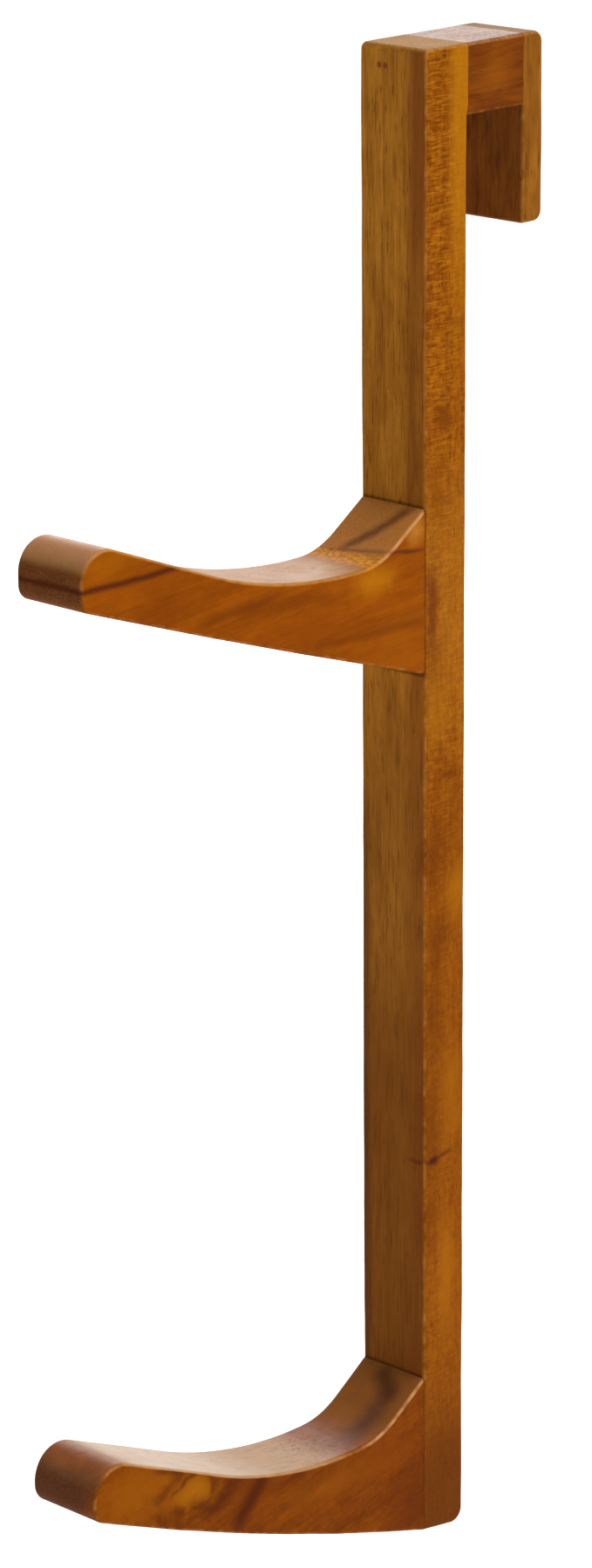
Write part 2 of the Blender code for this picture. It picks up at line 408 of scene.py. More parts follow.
class Wood:
    """What one board looks like. Sizes are in millimetres.

    light and dark are the ring colours, front and front_dark those of faces towards -Y, and end
    that of end grain. grain_turn turns the grain from Z towards Y.
    """

    def __init__(
        self, name, light, dark, front, front_dark, end, pith, ring, shift,
        grain_turn=0.0, pore_depth=0.55,
    ):
        tree = Tree(name)
        self.tree = tree
        place = tree.add("TexCoord", output=3)
        self.place = tree.add("VectorMath", {0: place, "Scale": MM_PER_METRE}, operation="SCALE")
        turned_grain = {
            "Vector": self.place,
            "Rotation": Euler((grain_turn, 0, 0)),
            "Location": (shift, shift * 0.7, shift * 3),
        }
        self.grain = tree.add("Mapping", turned_grain)
        self.x, self.y, self.z = tree.parts(self.place)
        normal = tree.add("TexCoord", output=1)
        self.nx, self.ny, self.nz = tree.parts(normal)
        axis = (0, math.sin(grain_turn), math.cos(grain_turn))
        self.lengthways = tree.add(
            "VectorMath", {0: normal, 1: axis}, output=1, operation="DOT_PRODUCT"
        )
        self.pore_depth = pore_depth
        self.seams = []
        self.matt = None
        self.wet = None
        self.rings(pith, ring)
        self.sideways = tree.step(tree.math("ABSOLUTE", self.nx), 0.6, 0.95)
        self.upward = tree.step(self.nz, 0.30, 0.62)
        self.forward = tree.step(self.ny, -0.45, -0.95)
        shade = self.clouded()
        self.colour = tree.mix(shade, light, dark)
        self.colour = tree.mix(self.forward, self.colour, tree.mix(shade, front, front_dark))
        self.mottle()
        self.fibres()
        self.end_grain(end)

    def rings(self, pith, ring):
        """Growth rings about the pith, about as wide as ring, and pushed about by slow noise."""
        tree = self.tree
        warp = tree.noise(self.grain, (34, 34, 190), (0, 0, 0), 3)
        u, v, _ = tree.parts(self.grain)
        du = tree.math("SUBTRACT", u, pith[0])
        dv = tree.math("SUBTRACT", v, pith[1])
        radius = tree.math("MULTIPLY_ADD", warp, 34.0, tree.distance(du, dv))
        phase = tree.math("DIVIDE", radius, ring)
        inputs = {"W": phase, "Scale": 1.0, "Detail": 3.0, "Roughness": 0.6}
        bands = tree.add("TexNoise", inputs, noise_dimensions="1D")
        self.ring_shade = tree.step(bands, 0.36, 0.72)

    def clouded(self):
        """Growth rings broken up by irregular clouds, so that no face shows ruled stripes."""
        tree = self.tree
        cloud = tree.noise(self.grain, (9, 9, 24), (2, 8, 5), 4, 0.62, 0.6)
        cloud = tree.step(cloud, 0.36, 0.66)
        return tree.math("MULTIPLY_ADD", self.ring_shade, 0.42, tree.times(cloud, 0.58))

    def mottle(self):
        """Slow changes of tone along and across the board."""
        slow = self.tree.noise(self.grain, (26, 26, 95), (7, 3, 1), 3, 0.55)
        self.toned(slow, ((0.80, 1.20), (0.74, 1.27), (0.6, 1.45)))

    def toned(self, value, ranges, strength=1.0):
        """Multiplies red, green and blue, each by its own range."""
        tree = self.tree
        tone = {part: tree.spread(value, low, high) for part, (low, high) in enumerate(ranges)}
        self.colour = tree.mix(strength, self.colour, tree.add("CombineColor", tone), "MULTIPLY")

    def dapple(self, strength, sizes=(2.6, 2.6, 3.6)):
        """Small soft clouds, as oil leaves them on figured wood."""
        spots = self.tree.noise(self.place, sizes, (5, 8, 2), 4, 0.66)
        spots = self.tree.step(spots, 0.28, 0.72)
        where = self.tree.times(self.sideways, strength)
        self.toned(spots, ((0.72, 1.22), (0.58, 1.34), (0.40, 1.6)), where)

    def fibres(self):
        """Fine lines along the grain, and the dark dashes of open pores."""
        tree = self.tree
        fine = tree.noise(self.grain, (0.55, 0.55, 26), (0, 0, 0), 4, 0.62)
        coarse = tree.noise(self.grain, (2.6, 2.6, 70), (1, 5, 2), 3, 0.5)
        self.fine = fine
        shade = tree.math("MULTIPLY_ADD", fine, 0.42, tree.times(coarse, 0.5))
        shade = tree.spread(shade, 0.42, 1.68)
        grey = tree.add("CombineColor", {0: shade, 1: shade, 2: shade})
        self.colour = tree.mix(0.75, self.colour, grey, "MULTIPLY")
        dash = tree.noise(self.grain, (0.62, 0.62, 8.5), (3, 9, 4), 1, 0.4)
        self.pores = tree.step(dash, 0.62, 0.74)
        depth = tree.times(self.pores, self.pore_depth)
        self.colour = tree.mix(depth, self.colour, PORE_DARK)

    def end_grain(self, end):
        """Dots and rings on the faces that cut across the grain."""
        tree = self.tree
        across = tree.step(tree.math("ABSOLUTE", self.lengthways), 0.45, 0.93)
        self.across = across
        dots = tree.noise(self.grain, (0.5, 0.5, 6), (2, 2, 2), 2, 0.5)
        tone = tree.mix(tree.step(dots, 0.42, 0.66), end, tuple(c * 0.5 for c in end))
        ringed = tuple(c * 0.55 for c in end)
        tone = tree.mix(tree.times(self.ring_shade, 0.4), tone, ringed)
        self.colour = tree.mix(across, self.colour, tone)

    def stain(self, mask, colour, strength):
        """Lays a colour over the board where the mask is 1."""
        self.colour = self.tree.mix(self.tree.times(mask, strength), self.colour, colour)

    def blob(self, centre, sizes, rough=0.5):
        """1 at the centre, fading out at the three sizes in millimetres, with an uneven border."""
        tree = self.tree
        away = tree.add("VectorMath", {0: self.place, 1: centre}, operation="SUBTRACT")
        away = tree.add("VectorMath", {0: away, 1: sizes}, operation="DIVIDE")
        far = tree.add("VectorMath", {0: away}, output=1, operation="LENGTH")
        uneven = tree.noise(self.place, (7, 7, 7), (1, 2, 7), 4, 0.65)
        far = tree.math("MULTIPLY_ADD", tree.math("SUBTRACT", uneven, 0.5), rough * 1.7, far)
        return tree.step(far, 1.15, 0.0)

    def patches(self, *rows):
        """Stains on the near side, each from its centre (y, z), sizes, colour and strength."""
        for centre, sizes, colour, strength in rows:
            self.stain(self.blob((SIDE, *centre), sizes), colour, strength)

    def seam_line(self, y, top, bottom, strength):
        """The dark hairline where this side meets its neighbour at y, from top down to bottom."""
        tree = self.tree
        near = tree.step(tree.apart(self.y, y), 0.9, 0.2)
        above = tree.step(self.z, bottom - 0.5, bottom + 0.5)
        below = tree.step(self.z, top + 0.5, top - 0.5)
        within = tree.times(above, below)
        broken = tree.noise(self.place, (2, 2, 5), (9, 1, 3), 3, 0.6)
        line = tree.times(near, tree.step(broken, 0.30, 0.60))
        self.stain(tree.times(line, within), SEAM_AND_SHADOW_DARK, strength)
        beside = tree.step(tree.math("ABSOLUTE", tree.math("SUBTRACT", self.y, y)), 2.2, 1.0)
        self.seams.append(tree.times(beside, within))

    def arris(self):
        """1 halfway round a rounded long edge, and 0 on the faces beside it."""
        tree = self.tree
        square = tree.times(self.nx, self.nx)
        return tree.times(tree.times(square, tree.math("SUBTRACT", 1.0, square)), 4.0)

    def edge_light(self, inner, outer, strength, colour):
        """The pale arris along the top of a peg's side, from inner out to outer along Y: part wear,
        part painted highlight.
        """
        tree = self.tree
        edge = self.arris()
        beyond = tree.step(self.y, outer - 6, outer + 6)
        where = tree.times(beyond, tree.step(self.y, inner, inner - 3))
        soft = tree.noise(self.place, (6, 6, 6), (3, 1, 3), 3)
        where = tree.times(where, tree.step(soft, 0.22, 0.62))
        where = tree.times(where, tree.step(self.nz, -0.05, 0.2))
        self.stain(tree.times(where, tree.step(edge, 0.30, 0.95)), colour, strength)

    def across_streak(self, start, end, width):
        """A wandering streak over the upward faces, from one (x, y) to another."""
        tree = self.tree
        push = tree.noise(self.place, (9, 9, 9), (5, 5, 2), 2)
        push = tree.times(tree.math("SUBTRACT", push, 0.5), 5.0)
        line = tree.streak(tree.math("ADD", self.x, push), self.y, start, end, width, 4.0)
        return tree.times(line, self.upward)

    def crest(self, inner, outer, strength):
        """The paler top of a peg's nose: a painted sheen."""
        tree = self.tree
        outward = tree.step(self.y, inner + 12, outer + 6)
        top = tree.times(tree.step(self.nz, 0.30, 0.80), outward)
        patchy = tree.noise(self.place, (12, 6, 6), (2, 2, 6), 3)
        painted_sheen = tree.times(top, tree.spread(patchy, 0.4, 1.0))
        self.stain(painted_sheen, (0.42, 0.20, 0.105), strength)

    def waved(self, amount=3.0, size=16.0):
        """The side view's Y and Z, pushed about a little so that streaks aren't ruled lines."""
        tree = self.tree
        push = tree.noise(self.place, (size, size, size), (4, 4, 4), 2)
        push = tree.times(tree.math("SUBTRACT", push, 0.5), amount * 2)
        return tree.math("ADD", self.y, push), tree.math("ADD", self.z, push)

    def finish(self, roughness=(0.32, 0.50), film=0.085):
        """Rubbed edges, partly painted highlight, the oil's uneven gloss, and the relief of fibres
        and pores.

        film is the oil's specular level on faces that look up.
        """
        tree = self.tree
        edge = self.arris()
        patchy = tree.noise(self.place, (5, 5, 5), (8, 8, 8), 3)
        flecks = tree.noise(self.place, (2.2, 2.2, 2.2), (3, 6, 1), 3, 0.6)
        # Paler rounded edges: partly wear, partly painted highlight
        rubbed_and_highlight = tree.times(tree.step(edge, 0.10, 0.9), tree.step(patchy, 0.36, 0.68))
        rubbed_and_highlight = tree.times(rubbed_and_highlight, tree.spread(tree.step(flecks, 0.36, 0.60), 0.5, 1.0))
        for beside in self.seams:
            rubbed_and_highlight = tree.times(rubbed_and_highlight, tree.math("SUBTRACT", 1.0, beside))
        self.stain(rubbed_and_highlight, RUBBED_AND_HIGHLIGHT, 0.42)
        shader = tree.shader
        tree.put(shader.inputs["Base Color"], self.colour)
        smear = tree.noise(self.place, (18, 18, 18), (5, 1, 9), 4, 0.6)
        gloss = tree.spread(smear, roughness[0] - 0.04, roughness[1] + 0.04)
        gloss = tree.math("MULTIPLY_ADD", self.pores, 0.18, gloss)
        gloss = tree.math("MULTIPLY_ADD", self.across, 0.16, gloss)
        thick = tree.times(self.upward, tree.spread(self.across, 1.0, END_GRAIN_SHARE))
        if self.matt is not None:
            thick = tree.times(thick, tree.spread(self.matt, 1.0, MATT_SHARE))
        level = tree.spread(thick, THIN_FILM, film)
        if self.wet is not None:
            level = tree.math("MULTIPLY_ADD", self.wet, WET_FILM, level)
            gloss = tree.math("MULTIPLY_ADD", self.wet, -0.06, gloss)
        tree.put(shader.inputs["Specular IOR Level"], level)
        tree.put(shader.inputs["Roughness"], gloss)
        shader.inputs["Specular Tint"].default_value = OIL_TINT
        relief = tree.math("MULTIPLY_ADD", self.pores, -1.0, tree.times(self.fine, 0.55))
        hand = tree.noise(self.place, (14, 14, 22), (6, 6, 6), 2)
        relief = tree.math("MULTIPLY_ADD", hand, 4.0, relief)
        bumped = tree.add("Bump", {"Strength": 0.6, "Distance": RELIEF, "Height": relief})
        tree.put(shader.inputs["Normal"], bumped)
        return tree.material


def post_wood():
    wood = Wood(
        "post_wood",
        light=(0.33, 0.092, 0.0022),
        dark=(0.235, 0.06, 0.0016),
        front=(0.47, 0.185, 0.019),
        front_dark=(0.33, 0.118, 0.011),
        end=(0.4, 0.185, 0.034),
        pith=(-10, 70),
        ring=6,
        shift=3,
    )
    tree = wood.tree
    wood.dapple(0.85, (2.2, 2.2, 2.8))
    # Ripple figure across the grain, strongest at the top
    ripple = tree.noise(wood.place, (40, 6.5, 0.75), (3, 3, 3), 2, 0.55)
    height = tree.spread(tree.step(wood.z, -400, -10), 0.42, 1)
    forward = tree.spread(tree.step(wood.y, -20, -34), 0.45, 1)
    where = tree.times(tree.times(height, forward), wood.sideways)
    troughs = tree.times(tree.step(ripple, 0.5, 0.66), where)
    wood.stain(troughs, (0.135, 0.029, 0.001), 0.64)
    crests = tree.times(tree.step(ripple, 0.46, 0.34), where)
    wood.stain(crests, (0.5, 0.19, 0.006), 0.42)
    # Golden towards the back in the upper part
    glow = tree.times(tree.step(wood.y, -34, -24), tree.step(wood.z, -140, 0))
    wood.stain(tree.times(glow, wood.sideways), (0.5, 0.185, 0.004), 0.55)
    pale = tree.times(tree.step(wood.z, -290, -235), tree.step(wood.z, -130, -185))
    wood.stain(tree.times(pale, wood.sideways), (0.42, 0.155, 0.012), 0.3)
    # The lower part is deeper in colour, golden along the back, with dark clouds
    low = tree.step(wood.z, -270, -330)
    wood.stain(tree.times(low, wood.sideways), (0.2, 0.048, 0.001), 0.45)
    for start, end, colour in (
        (-225, -300, (0.205, 0.062, 0.007)),
        (-370, -430, (0.175, 0.045, 0.006)),
    ):
        wood.stain(tree.times(tree.step(wood.z, start, end), wood.forward), colour, 0.5)
    for y, z, long, colour, strength in (
        (-24, -345, 18, (0.38, 0.125, 0.002), 0.7),
        (-27, -440, 34, (0.36, 0.112, 0.002), 0.6),
        (-30, -530, 44, (0.37, 0.115, 0.003), 0.7),
        (-38, -262, 22, (0.38, 0.13, 0.004), 0.5),
        (-33, -128, 12, (0.15, 0.034, 0.001), 0.65),
        (-38, -158, 24, (0.2, 0.05, 0.001), 0.55),
        (-40, -236, 18, (0.19, 0.046, 0.001), 0.5),
        (-29, -290, 5, (0.13, 0.026, 0.001), 0.45),
        (-40, -327, 20, (0.14, 0.03, 0.001), 0.65),
        (-37, -368, 24, (0.135, 0.029, 0.001), 0.62),
        (-40, -402, 24, (0.135, 0.03, 0.001), 0.55),
        (-42, -455, 34, (0.13, 0.028, 0.001), 0.55),
        (-42, -500, 24, (0.15, 0.03, 0.001), 0.45),
    ):
        wood.stain(wood.blob((SIDE, y, z), (10, 10, long), 0.7), colour, strength)
    foot = tree.step(wood.z, -572, -625)
    wood.stain(tree.times(foot, wood.sideways), (0.105, 0.024, 0.002), 0.75)
    wood.stain(wood.blob((SIDE, -40, -551), (4, 1.8, 1.8), 0.3), (0.16, 0.02, 0.002), 0.75)
    # Open dashes and smoky lines along the front
    dashes = tree.noise(wood.grain, (0.55, 0.55, 26), (4, 4, 8), 2, 0.55)
    dashes = tree.times(tree.step(dashes, 0.55, 0.66), wood.forward)
    wood.stain(dashes, (0.095, 0.027, 0.005), 0.62)
    smoke = tree.noise(wood.grain, (2.6, 2.6, 60), (8, 2, 1), 3, 0.55)
    smoke = tree.times(tree.step(smoke, 0.5, 0.64), wood.forward)
    wood.stain(smoke, (0.15, 0.044, 0.006), 0.36)
    far_edge = tree.times(tree.step(wood.x, -12, -16.5), wood.forward)
    far_edge = tree.times(far_edge, tree.step(wood.z, -285, -330))
    wood.stain(far_edge, (0.075, 0.026, 0.008), 0.55)
    # Red-brown band beside the right edge of the front
    edge = tree.math("MULTIPLY_ADD", tree.math("SUBTRACT", wood.fine, 0.5), 4, wood.x)
    band = tree.times(tree.step(edge, 5, 13), wood.forward)
    band = tree.times(band, tree.spread(tree.step(wood.z, -75, -35), 0.45, 1))
    wood.stain(band, (0.2, 0.052, 0.008), 0.85)
    # Oil that ran beside the upper arm's seam
    run = wood.blob((SIDE, -41, -211), (9, 6, 26), 0.9)
    wood.stain(run, (0.15, 0.03, 0.004), 0.8)
    wood.seam_line(-45, *UPPER_SEAM, 0.4)
    wood.seam_line(-45, *LOWER_SEAM, 0.3)
    # Dark lines across the front where the arms meet it: seam lines above the arms, and a painted
    # contact shadow under the upper arm
    for z in (-167, -242.3, -575.5):
        over = tree.step(tree.apart(wood.z, z), 1.5, 0.2)
        wood.stain(tree.times(over, wood.forward), SEAM_AND_SHADOW_DARK, 0.6)
    # A slanted pin knot low on the side
    y, z = wood.waved(1.2, 5)
    knot = tree.streak(y, z, (-42, -471), (-36, -470.6), 3.4, 2.5)
    tail = tree.streak(y, z, (-47, -471), (-27, -469), 1.8, 3)
    near = tree.step(wood.x, 6, 14)
    wood.stain(tree.times(knot, near), MAROON, 0.95)
    wood.stain(tree.times(tail, near), MAROON, 0.5)
    # Two small red spots near the top of the front
    for spot in (-7.6, -4.2):
        dx = tree.math("SUBTRACT", wood.x, spot)
        dz = tree.math("SUBTRACT", wood.z, 22.3)
        far = tree.distance(dx, dz)
        front = tree.step(wood.y, -43, -44.5)
        wood.stain(tree.times(tree.step(far, 2.1, 0.6), front), (0.13, 0.018, 0.008), 0.7)
    return wood.finish()


def bridge_wood():
    wood = Wood(
        "bridge_wood",
        light=(0.215, 0.05, 0.003),
        dark=(0.125, 0.026, 0.002),
        front=(0.22, 0.07, 0.008),
        front_dark=(0.14, 0.04, 0.005),
        end=(0.24, 0.1, 0.03),
        grain_turn=math.pi / 2,
        pith=(20, 60),
        ring=3,
        shift=31,
    )
    tree = wood.tree
    # Its top is paler, part wear and part painted glare, and keeps the saw's torn marks
    wood.stain(wood.upward, (0.31, 0.155, 0.066), 0.6)
    saw = tree.noise(wood.place, (2.6, 1.1, 2.6), (1, 4, 4), 4, 0.72)
    sawn = tree.times(tree.step(saw, 0.5, 0.6), wood.upward)
    wood.stain(sawn, (0.1, 0.03, 0.012), 0.85)
    wood.matt = sawn
    wood.stain(wood.blob((SIDE, 0, 17), (8, 16, 14)), (0.3, 0.082, 0.003), 0.45)
    return wood.finish()


def lip_wood():
    wood = Wood(
        "lip_wood",
        light=(0.31, 0.11, 0.009),
        dark=(0.19, 0.06, 0.005),
        front=(0.23, 0.076, 0.011),
        front_dark=(0.14, 0.042, 0.006),
        end=(0.32, 0.15, 0.045),
        pith=(15, 60),
        ring=3.2,
        shift=57,
    )
    return wood.finish()


def upper_arm_wood():
    wood = Wood(
        "upper_arm_wood",
        light=(0.285, 0.066, 0.0008),
        dark=(0.225, 0.047, 0.0006),
        front=(0.22, 0.075, 0.012),
        front_dark=(0.15, 0.048, 0.008),
        end=(0.19, 0.062, 0.017),
        grain_turn=math.radians(86),
        pith=(10, 150),
        ring=14,
        shift=83,
        pore_depth=0.12,
    )
    tree = wood.tree
    y, z = wood.waved(2, 30)
    wood.dapple(0.16, (4, 7, 4))
    wood.patches(
        ((-78, -193), (9, 18, 9), (0.46, 0.155, 0.002), 0.75),
        ((-238, -154), (8, 26, 9), (0.315, 0.086, 0.001), 0.6),
        ((-215, -168), (8, 30, 8), (0.24, 0.052, 0.001), 0.4),
        ((-125, -205), (9, 50, 12), (0.22, 0.042, 0.0006), 0.5),
        ((-62, -222), (9, 22, 22), (0.31, 0.08, 0.001), 0.4),
    )
    # The scoop's tan, part wood tone and part painted glare, and the facet's brown
    scoop = tree.times(tree.step(wood.y, -78, -88), wood.upward)
    cloudy = tree.noise(wood.place, (7, 12, 7), (4, 4, 1), 4, 0.6)
    scoop_tan_and_glare = tree.times(scoop, tree.spread(cloudy, 0.3, 1.2))
    wood.stain(scoop_tan_and_glare, (0.4, 0.215, 0.045), 0.62)
    fibres = tree.noise(wood.place, (1.3, 14, 3), (2, 2, 9), 4, 0.65)
    wood.stain(tree.times(scoop, tree.step(fibres, 0.48, 0.66)), (0.2, 0.09, 0.022), 0.45)
    facet = tree.times(tree.step(wood.y, -78, -66), wood.upward)
    wood.stain(facet, (0.5, 0.205, 0.044), 0.68)
    specks = tree.noise(wood.place, (0.8, 1.6, 0.8), (2, 6, 6), 3, 0.7)
    wood.stain(tree.times(facet, tree.step(specks, 0.5, 0.68)), (0.2, 0.07, 0.014), 0.45)
    wood.stain(wood.across_streak((12, -46), (-6, -71), 5), (0.075, 0.02, 0.01), 0.72)
    # A golden, gritty, duller crease where the facet meets the scoop, with a thin dark line above
    ragged = tree.noise(wood.place, (3, 3, 3), (1, 6, 6), 3, 0.6)
    ragged = tree.math("MULTIPLY_ADD", ragged, 7, wood.y)
    crease = tree.step(tree.math("ABSOLUTE", tree.math("ADD", ragged, 73.5)), 8, 1.5)
    crease = tree.times(crease, wood.upward)
    grit = tree.noise(wood.place, (2.2, 2.2, 2.2), (6, 2, 8), 4, 0.7)
    golden = tree.mix(tree.step(grit, 0.38, 0.62), (0.38, 0.135, 0.009), (0.66, 0.27, 0.016))
    wood.stain(crease, golden, 0.88)
    # The scoop's oil is duller than the nose's
    dulled = tree.times(scoop, tree.step(wood.y, -205, -180))
    wood.matt = tree.math("MAXIMUM", crease, tree.times(dulled, 0.33))
    wood.stain(wood.across_streak((17, -68), (-14, -74), 2.2), (0.09, 0.024, 0.012), 0.5)
    # Painted sheen on the nose's top
    wood.crest(-238, -252, 0.8)
    # Dark streaks: one right round the tip, the rest on the sides only
    along = wood.sideways
    round_tip = tree.streak(y, z, (-262, -163), (-196, -163.2), 2.6, 8)
    wood.stain(round_tip, (0.07, 0.012, 0.003), 0.88)
    for start, end, width, strength, colour in (
        ((-185, -191), (-136, -187), 3.6, 0.6, (0.13, 0.026, 0.001)),
        ((-119, -214.5), (-44, -216.7), 3.6, 0.5, (0.13, 0.026, 0.001)),
        ((-159, -189.5), (-104, -195), 5.5, 0.5, (0.16, 0.033, 0.001)),
        ((-72, -182), (-44, -184.5), 1.8, 0.75, (0.085, 0.016, 0.006)),
    ):
        line = tree.times(tree.streak(y, z, start, end, width, 9), along)
        wood.stain(line, colour, strength)
    corner_light = wood.blob((SIDE, -51, -176), (5, 8, 8), 0.4)
    wood.stain(tree.times(corner_light, along), (0.52, 0.215, 0.025), 0.6)
    # Pale arrises on the facet and scoop edges: part wear, part painted highlight
    wood.edge_light(-44, -74, 0.68, BARE_AND_HIGHLIGHT)
    wood.edge_light(-70, -240, 0.28, RUBBED_AND_HIGHLIGHT)
    wood.seam_line(-45.3, *UPPER_SEAM, 0.35)
    return wood.finish(roughness=(0.3, 0.46), film=0.054)


def lower_arm_wood():
    wood = Wood(
        "lower_arm_wood",
        light=(0.205, 0.044, 0.0008),
        dark=(0.14, 0.028, 0.0006),
        front=(0.145, 0.048, 0.013),
        front_dark=(0.096, 0.03, 0.009),
        end=(0.145, 0.047, 0.019),
        grain_turn=math.radians(80),
        pith=(0, 110),
        ring=12,
        shift=127,
        pore_depth=0.2,
    )
    tree = wood.tree
    y, z = wood.waved(5, 26)
    wood.dapple(0.45, (3, 4, 3))
    along = wood.sideways
    wood.patches(
        ((-232, -568), (12, 44, 20), (0.285, 0.074, 0.001), 0.85),
        ((-196, -578), (10, 30, 14), (0.3, 0.086, 0.001), 0.5),
        ((-105, -607), (10, 46, 10), (0.25, 0.064, 0.001), 0.6),
        ((-160, -592), (9, 24, 20), (0.15, 0.03, 0.0008), 0.75),
        ((-72, -606), (10, 26, 14), (0.215, 0.042, 0.001), 0.55),
        ((-50, -634), (12, 32, 26), (0.104, 0.019, 0.001), 0.75),
    )
    # Swirled figure behind the tip: an amber eye with broken brown arcs around it
    eye = tree.add("VectorMath", {0: wood.place, 1: (SIDE, -194, -579)}, operation="SUBTRACT")
    eye = tree.add("VectorMath", {0: eye, 1: (30, 15, 8)}, operation="DIVIDE")
    far = tree.add("VectorMath", {0: eye}, output=1, operation="LENGTH")
    wander = tree.noise(wood.place, (13, 13, 13), (2, 9, 3), 1, 0.5)
    far = tree.math("MULTIPLY_ADD", tree.math("SUBTRACT", wander, 0.5), 1.3, far)
    wood.stain(tree.times(tree.step(far, 1.2, 0), along), (0.36, 0.118, 0.002), 0.65)
    broken = tree.noise(wood.place, (9, 9, 6), (7, 3, 3), 2, 0.5)
    broken = tree.times(tree.step(broken, 0.34, 0.58), along)
    for radius, width, strength in ((0.95, 0.3, 0.75), (1.6, 0.42, 0.6)):
        arc = tree.step(tree.apart(far, radius), width, 0)
        wood.stain(tree.times(arc, broken), (0.095, 0.02, 0.001), strength)
    for start, end, width, strength in (
        ((-219, -558), (-200, -567), 5, 0.7),
        ((-194, -586), (-180, -591), 5, 0.65),
        ((-150, -585), (-172, -608), 8, 0.9),
        ((-163, -578), (-181, -590), 8, 0.55),
        ((-122, -592), (-146, -600), 5, 0.35),
    ):
        line = tree.times(tree.streak(y, z, start, end, width, 7), along)
        wood.stain(line, (0.066, 0.012, 0.002), strength)
    # The facet is golden at its far side, with a smoky pool of oil at its near side
    warm = tree.times(tree.step(wood.y, -92, -66), wood.upward)
    wood.stain(warm, (0.3, 0.125, 0.03), 0.45)
    pool = tree.times(wood.blob((7, -74, -588), (9, 27, 22), 0.35), wood.upward)
    wood.stain(pool, (0.06, 0.024, 0.018), 0.8)
    wood.stain(wood.across_streak((-6, -47), (10, -58), 8), (0.045, 0.014, 0.007), 0.7)
    # Tan over the scoop, part wood tone and part painted glare; over its outer half a paler painted
    # glare where the oil also lies wetter; and grit at its foot
    tan = tree.times(tree.step(wood.y, -92, -116), wood.upward)
    tan = tree.times(tan, tree.step(wood.y, -246, -226))
    wood.stain(tan, (0.46, 0.3, 0.155), 0.62)
    fibres = tree.noise(wood.place, (1.2, 16, 3), (2, 2, 9), 4, 0.65)
    wood.stain(tree.times(tan, tree.step(fibres, 0.46, 0.64)), (0.2, 0.085, 0.03), 0.45)
    glare_zone = tree.times(tree.step(wood.y, -128, -176), wood.upward)
    glare_zone = tree.times(glare_zone, tree.step(wood.y, -243, -222))
    smoky = tree.noise(wood.place, (9, 22, 9), (1, 7, 1), 3, 0.6)
    painted_glare = tree.times(glare_zone, tree.spread(smoky, 0.15, 1.25))
    wood.stain(painted_glare, (0.52, 0.4, 0.28), 0.35)
    wood.wet = tree.times(glare_zone, tree.spread(smoky, 0.5, 1.3))
    grit = tree.noise(wood.place, (1.3, 2, 1.3), (6, 2, 8), 4, 0.75)
    pitted = tree.times(wood.blob((0, -104, -595), (22, 22, 14), 0.5), wood.upward)
    wood.stain(tree.times(pitted, tree.step(grit, 0.52, 0.6)), (0.06, 0.022, 0.012), 0.8)
    # Painted sheen on the nose's top
    wood.crest(-240, -255, 0.25)
    # Pale arrises on the facet and scoop edges: part wear, part painted highlight
    wood.edge_light(-44, -82, 0.62, BARE_AND_HIGHLIGHT)
    wood.edge_light(-86, -240, 0.25, RUBBED_AND_HIGHLIGHT)
    wood.seam_line(-45.3, *LOWER_SEAM, 0.3)
    return wood.finish(roughness=(0.3, 0.44), film=0.075)


def plug_wood():
    wood = Wood(
        "plug_wood",
        light=(0.22, 0.065, 0.006),
        dark=(0.14, 0.036, 0.004),
        front=(0.2, 0.07, 0.01),
        front_dark=(0.13, 0.04, 0.006),
        end=(0.2, 0.07, 0.014),
        grain_turn=math.pi / 2,
        pith=(5, 20),
        ring=2.2,
        shift=11,
    )
    return wood.finish()


def zinc_steel():
    tree = Tree("zinc_plated_steel")
    place = tree.add("TexCoord", output=3)
    place = tree.add("VectorMath", {0: place, "Scale": MM_PER_METRE}, operation="SCALE")
    blotch = tree.noise(place, (3, 3, 3), (0, 0, 0), 4)
    colour = tree.mix(blotch, (0.55, 0.53, 0.47), (0.74, 0.7, 0.6))
    tree.put(tree.shader.inputs["Base Color"], colour)
    tree.put(tree.shader.inputs["Roughness"], tree.spread(blotch, 0.22, 0.45))
    tree.shader.inputs["Metallic"].default_value = 1.0
    fine = tree.noise(place, (0.2, 0.2, 0.2), (0, 0, 0), 2)
    bumped = tree.add("Bump", {"Strength": 0.3, "Distance": 0.00002, "Height": fine})
    tree.put(tree.shader.inputs["Normal"], bumped)
    return tree.material


# Wooden pieces: the arms' side outlines, in metres and as slopes, and the radii of corners

UPPER = {
    "dip": 0.0192,
    "facet": 0.66,
    "rise": 0.39,
    "nose": 0.014,
    "chin": 0.0065,
    "tip": -0.0035,
    "heel": 0.0740,
    "belly": 0.0008,
}
LOWER = {
    "dip": 0.0198,
    "facet": 0.66,
    "rise": 0.44,
    "nose": 0.0145,
    "chin": 0.009,
    "tip": 0.0035,
    "heel": 0.0762,
    "belly": 0.0030,
}
RISE_FOOT = 0.0907
HOLLOW_RADIUS = 0.042
SCOOP_TANGENT = 0.047
FOOT_SLOPE = 0.0045
FOOT_RADIUS = 0.0065
POST_TOP_RADIUS = 0.003
LIP_INNER_RADIUS = 0.0015
LIP_BOTTOM_RADIUS = 0.0045
LIP_TOP_RADIUS = 0.005


